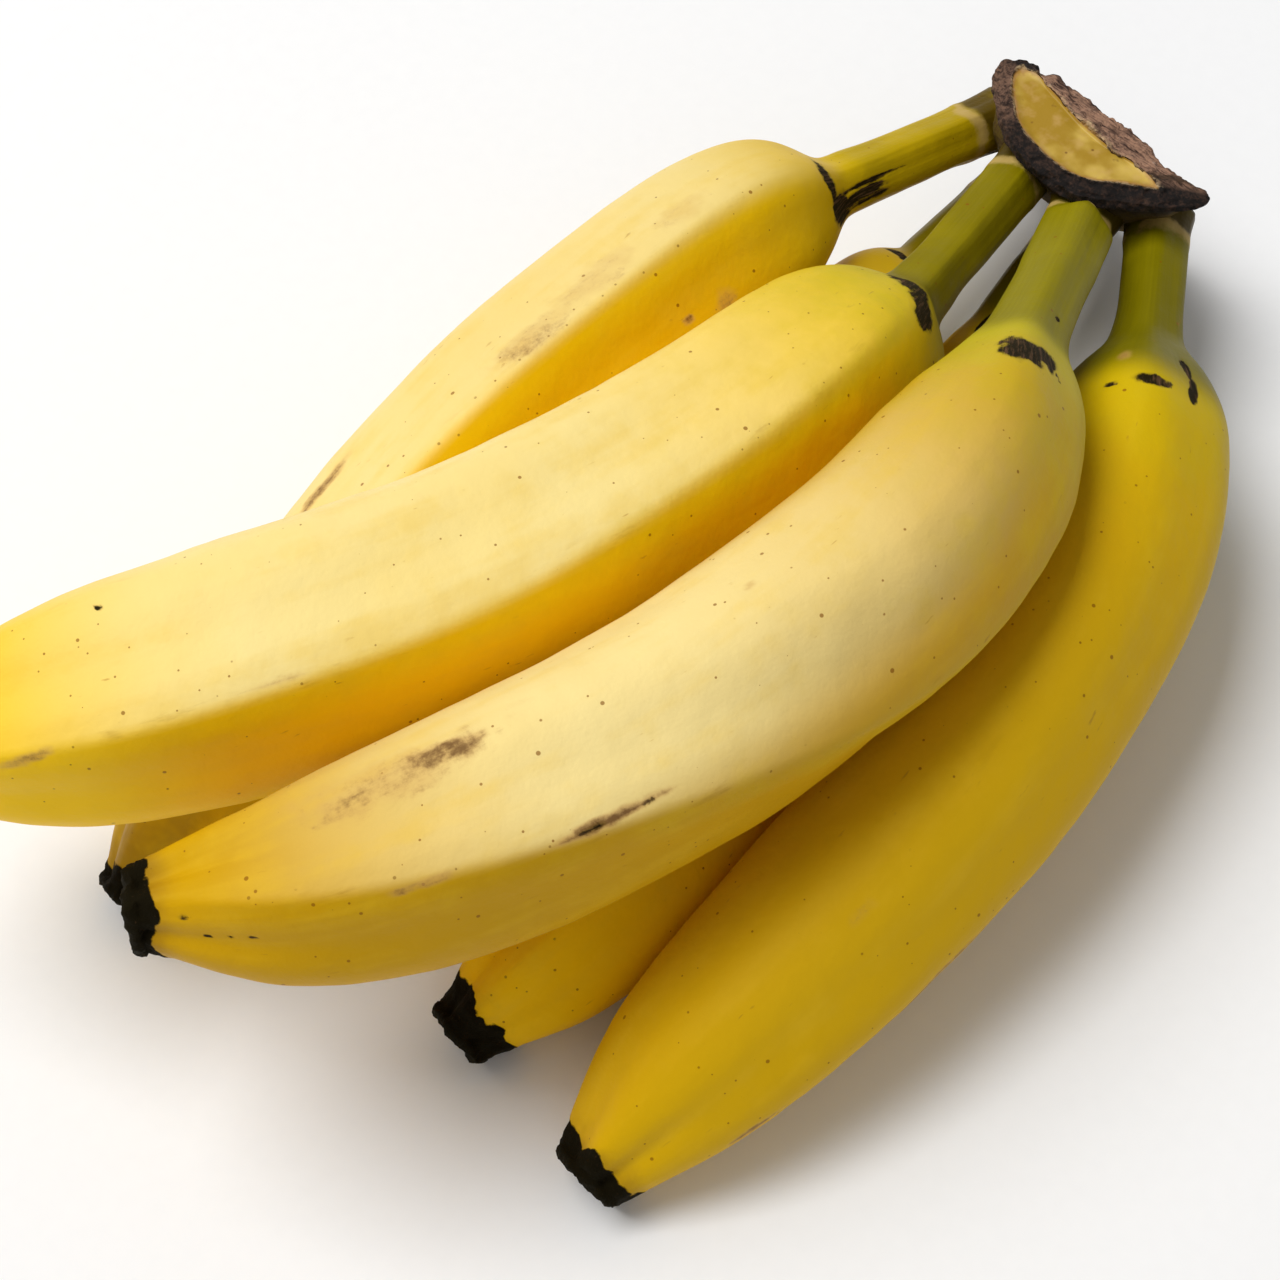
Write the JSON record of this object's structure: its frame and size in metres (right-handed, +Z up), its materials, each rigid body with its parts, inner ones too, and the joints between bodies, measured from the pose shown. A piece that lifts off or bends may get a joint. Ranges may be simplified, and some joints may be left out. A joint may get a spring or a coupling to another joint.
{
  "type": "bunch of bananas",
  "caption": "Bunch of ripe yellow bananas fanning out from one cut crown, lying on its side in two layers.",
  "frame": {"origin": "centre of the bounding box's base, on the surface that the bunch lies on", "axes": "+X from the tips to the crown, +Z up, with the outer side of the hand upwards"},
  "size_m": [0.2294, 0.1348, 0.0752],
  "materials": {
    "outer_banana_1": "waxy ripe peel",
    "outer_banana_2": "waxy ripe peel",
    "outer_banana_3": "waxy ripe peel",
    "outer_banana_4": "waxy ripe peel",
    "inner_banana_1": "waxy ripe peel",
    "inner_banana_2": "waxy ripe peel",
    "crown": "dried fibrous cut"
  },
  "bodies": {
    "root": {"outer_banana_1": "outer_banana_1", "outer_banana_2": "outer_banana_2", "outer_banana_3": "outer_banana_3", "outer_banana_4": "outer_banana_4", "inner_banana_1": "inner_banana_1", "inner_banana_2": "inner_banana_2", "crown": "crown"}
  },
  "joints": []
}
